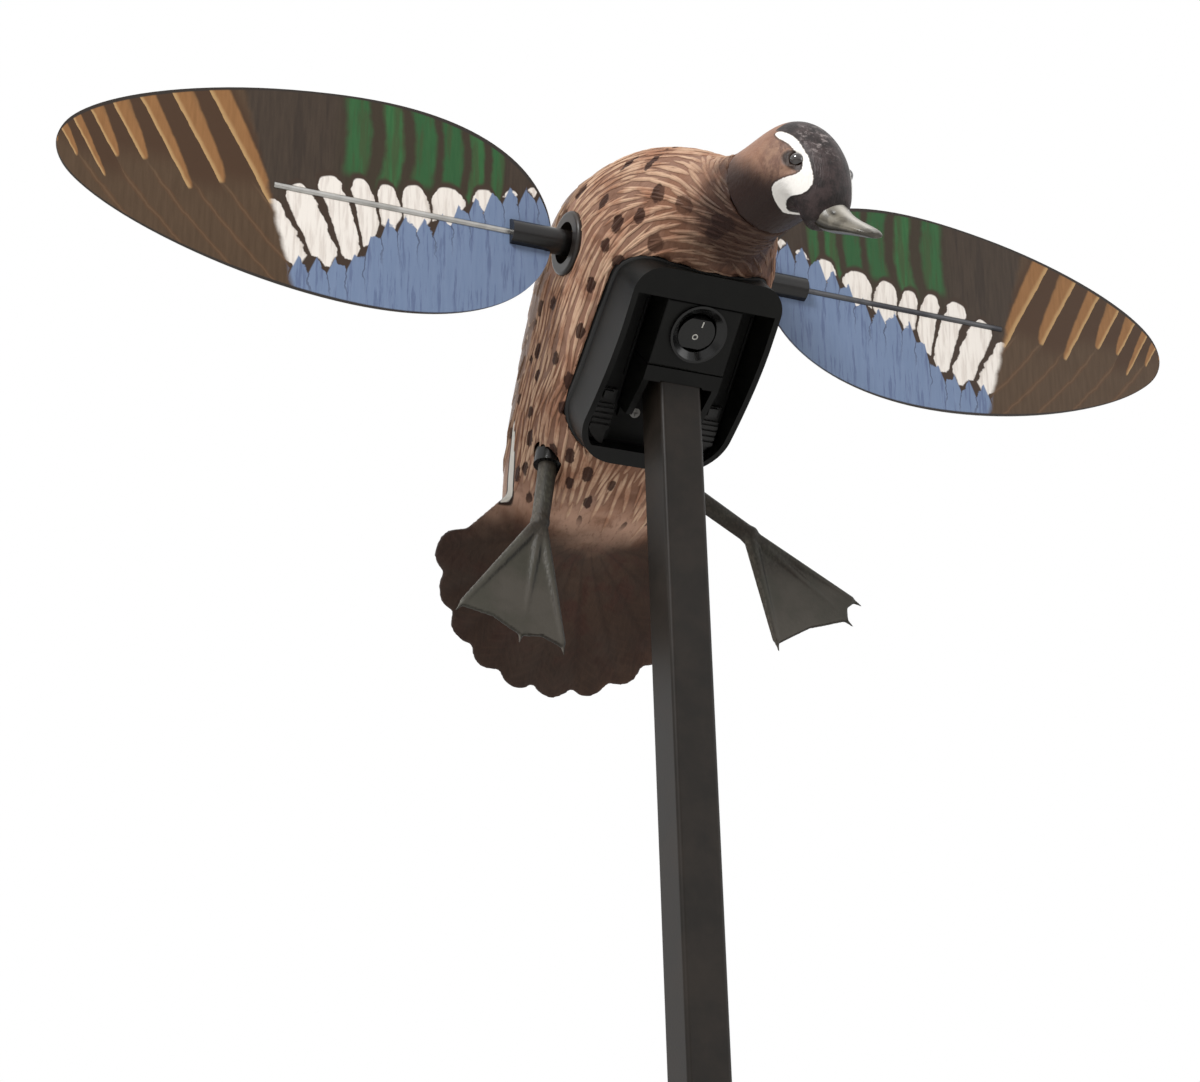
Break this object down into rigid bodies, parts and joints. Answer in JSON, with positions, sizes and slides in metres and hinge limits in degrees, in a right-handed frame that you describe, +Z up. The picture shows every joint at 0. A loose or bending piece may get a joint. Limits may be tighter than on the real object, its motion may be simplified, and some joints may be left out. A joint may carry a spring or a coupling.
{
  "type": "motorised spinning-wing duck decoy",
  "caption": "Motorised duck decoy with plug-in spinning wings, belly control box, battery doors and rocker switch, webbed feet and a jointed square ground stake with foot step.",
  "frame": {"origin": "on the stake's axis at the ground line, level with the foot step's underside", "axes": "+Z up along the stake, the duck heads towards -Y, its left wing is towards +X"},
  "size_m": [0.61, 0.3152, 0.9762],
  "materials": {
    "body_brown": "matt, engraved feathers",
    "head_maroon": "satin",
    "bill_horn": "satin",
    "eye_gloss": "gloss",
    "wing_print": "printed, satin",
    "tube_brown": "satin",
    "spine_steel": "satin",
    "box_black": "matt",
    "switch_black": "semi-gloss",
    "seal_rubber": "matt",
    "leg_rubber": "satin",
    "stake_paint": "satin black",
    "plug_plastic": "matt",
    "steel": "satin",
    "motor_steel": "satin",
    "magnet_dark": "satin",
    "copper": "satin",
    "brass": "satin",
    "cell_wrap": "gloss"
  },
  "bodies": {
    "stake_lower": {"stake_lower": "stake_paint", "stake_joiner": "steel", "joiner_rivet": "steel", "stake_spike": "stake_paint", "foot_step": "stake_paint", "step_bolts": "steel"},
    "stake_upper": {"stake_upper": "stake_paint", "stake_cap": "plug_plastic"},
    "decoy": {"body_shell": "body_brown", "head": "head_maroon", "bill": "bill_horn", "eyes": "eye_gloss", "belly_box_seal": "seal_rubber", "control_box": "box_black", "switch_console": "box_black", "switch_body": "switch_black", "switch_terminals": "brass", "stake_socket": "box_black", "socket_screws": "steel", "door_hinge_pins": "steel", "battery_cells": "cell_wrap", "battery_contacts": "steel", "motor_cradle": "box_black", "motor_strap": "box_black", "strap_screws": "steel", "motor_can": "motor_steel", "motor_end_cap": "plug_plastic", "motor_bushes": "brass", "motor_field_magnets": "magnet_dark", "motor_brushes": "magnet_dark", "hub_bushes": "plug_plastic", "hub_cup_left": "tube_brown", "hub_cup_right": "tube_brown", "hub_nut_left": "plug_plastic", "hub_nut_right": "plug_plastic", "leg_left": "leg_rubber", "leg_right": "leg_rubber", "leg_grommet_left": "seal_rubber", "leg_grommet_right": "seal_rubber"},
    "drive": {"armature_core": "motor_steel", "armature_coils": "copper", "commutator": "copper", "drive_shaft": "steel", "shaft_coupler_left": "plug_plastic", "shaft_coupler_right": "plug_plastic", "coupler_grub_screws": "steel", "coupler_magnets": "magnet_dark"},
    "wing_left": {"wing_left_blade": "wing_print", "wing_left_spine": "spine_steel", "wing_left_tube": "tube_brown", "wing_left_magnet": "magnet_dark"},
    "wing_right": {"wing_right_blade": "wing_print", "wing_right_spine": "spine_steel", "wing_right_tube": "tube_brown", "wing_right_magnet": "magnet_dark"},
    "rocker": {"switch_rocker": "switch_black"},
    "door_left": {"battery_door_left": "box_black"},
    "door_right": {"battery_door_right": "box_black"},
    "latch_left": {"door_latch_left": "box_black"},
    "latch_right": {"door_latch_right": "box_black"}
  },
  "joints": [
    {"name": "stake_extension", "type": "slide", "parent": "stake_lower", "child": "stake_upper", "axis": [0, 0, 1], "range_m": [0, 0.05]},
    {"name": "decoy_lift", "type": "slide", "parent": "stake_upper", "child": "decoy", "axis": [0, 0, 1], "range_m": [0, 0.045]},
    {"name": "wing_spin", "type": "hinge", "parent": "decoy", "child": "drive", "pos_m": [0, 0.006, 0.76], "axis": [1, 0, 0], "continuous": true},
    {"name": "wing_left_pull", "type": "slide", "parent": "drive", "child": "wing_left", "axis": [1, 0, 0], "range_m": [0, 0.02]},
    {"name": "wing_right_pull", "type": "slide", "parent": "drive", "child": "wing_right", "axis": [-1, 0, 0], "range_m": [0, 0.02]},
    {"name": "switch_rock", "type": "hinge", "parent": "decoy", "child": "rocker", "pos_m": [0, -0.02652, 0.70689], "axis": [-1, 0, 0], "range_deg": [0, 16]},
    {"name": "door_left_hinge", "type": "hinge", "parent": "decoy", "child": "door_left", "pos_m": [0, -0.02537, 0.72565], "axis": [-1, 0, 0], "range_deg": [0, 90]},
    {"name": "door_right_hinge", "type": "hinge", "parent": "decoy", "child": "door_right", "pos_m": [0, -0.02537, 0.72565], "axis": [-1, 0, 0], "range_deg": [0, 90]},
    {"name": "latch_left_slide", "type": "slide", "parent": "door_left", "child": "latch_left", "axis": [0, 0.7193, -0.6947], "range_m": [0, 0.004]},
    {"name": "latch_right_slide", "type": "slide", "parent": "door_right", "child": "latch_right", "axis": [0, 0.7193, -0.6947], "range_m": [0, 0.004]}
  ]
}
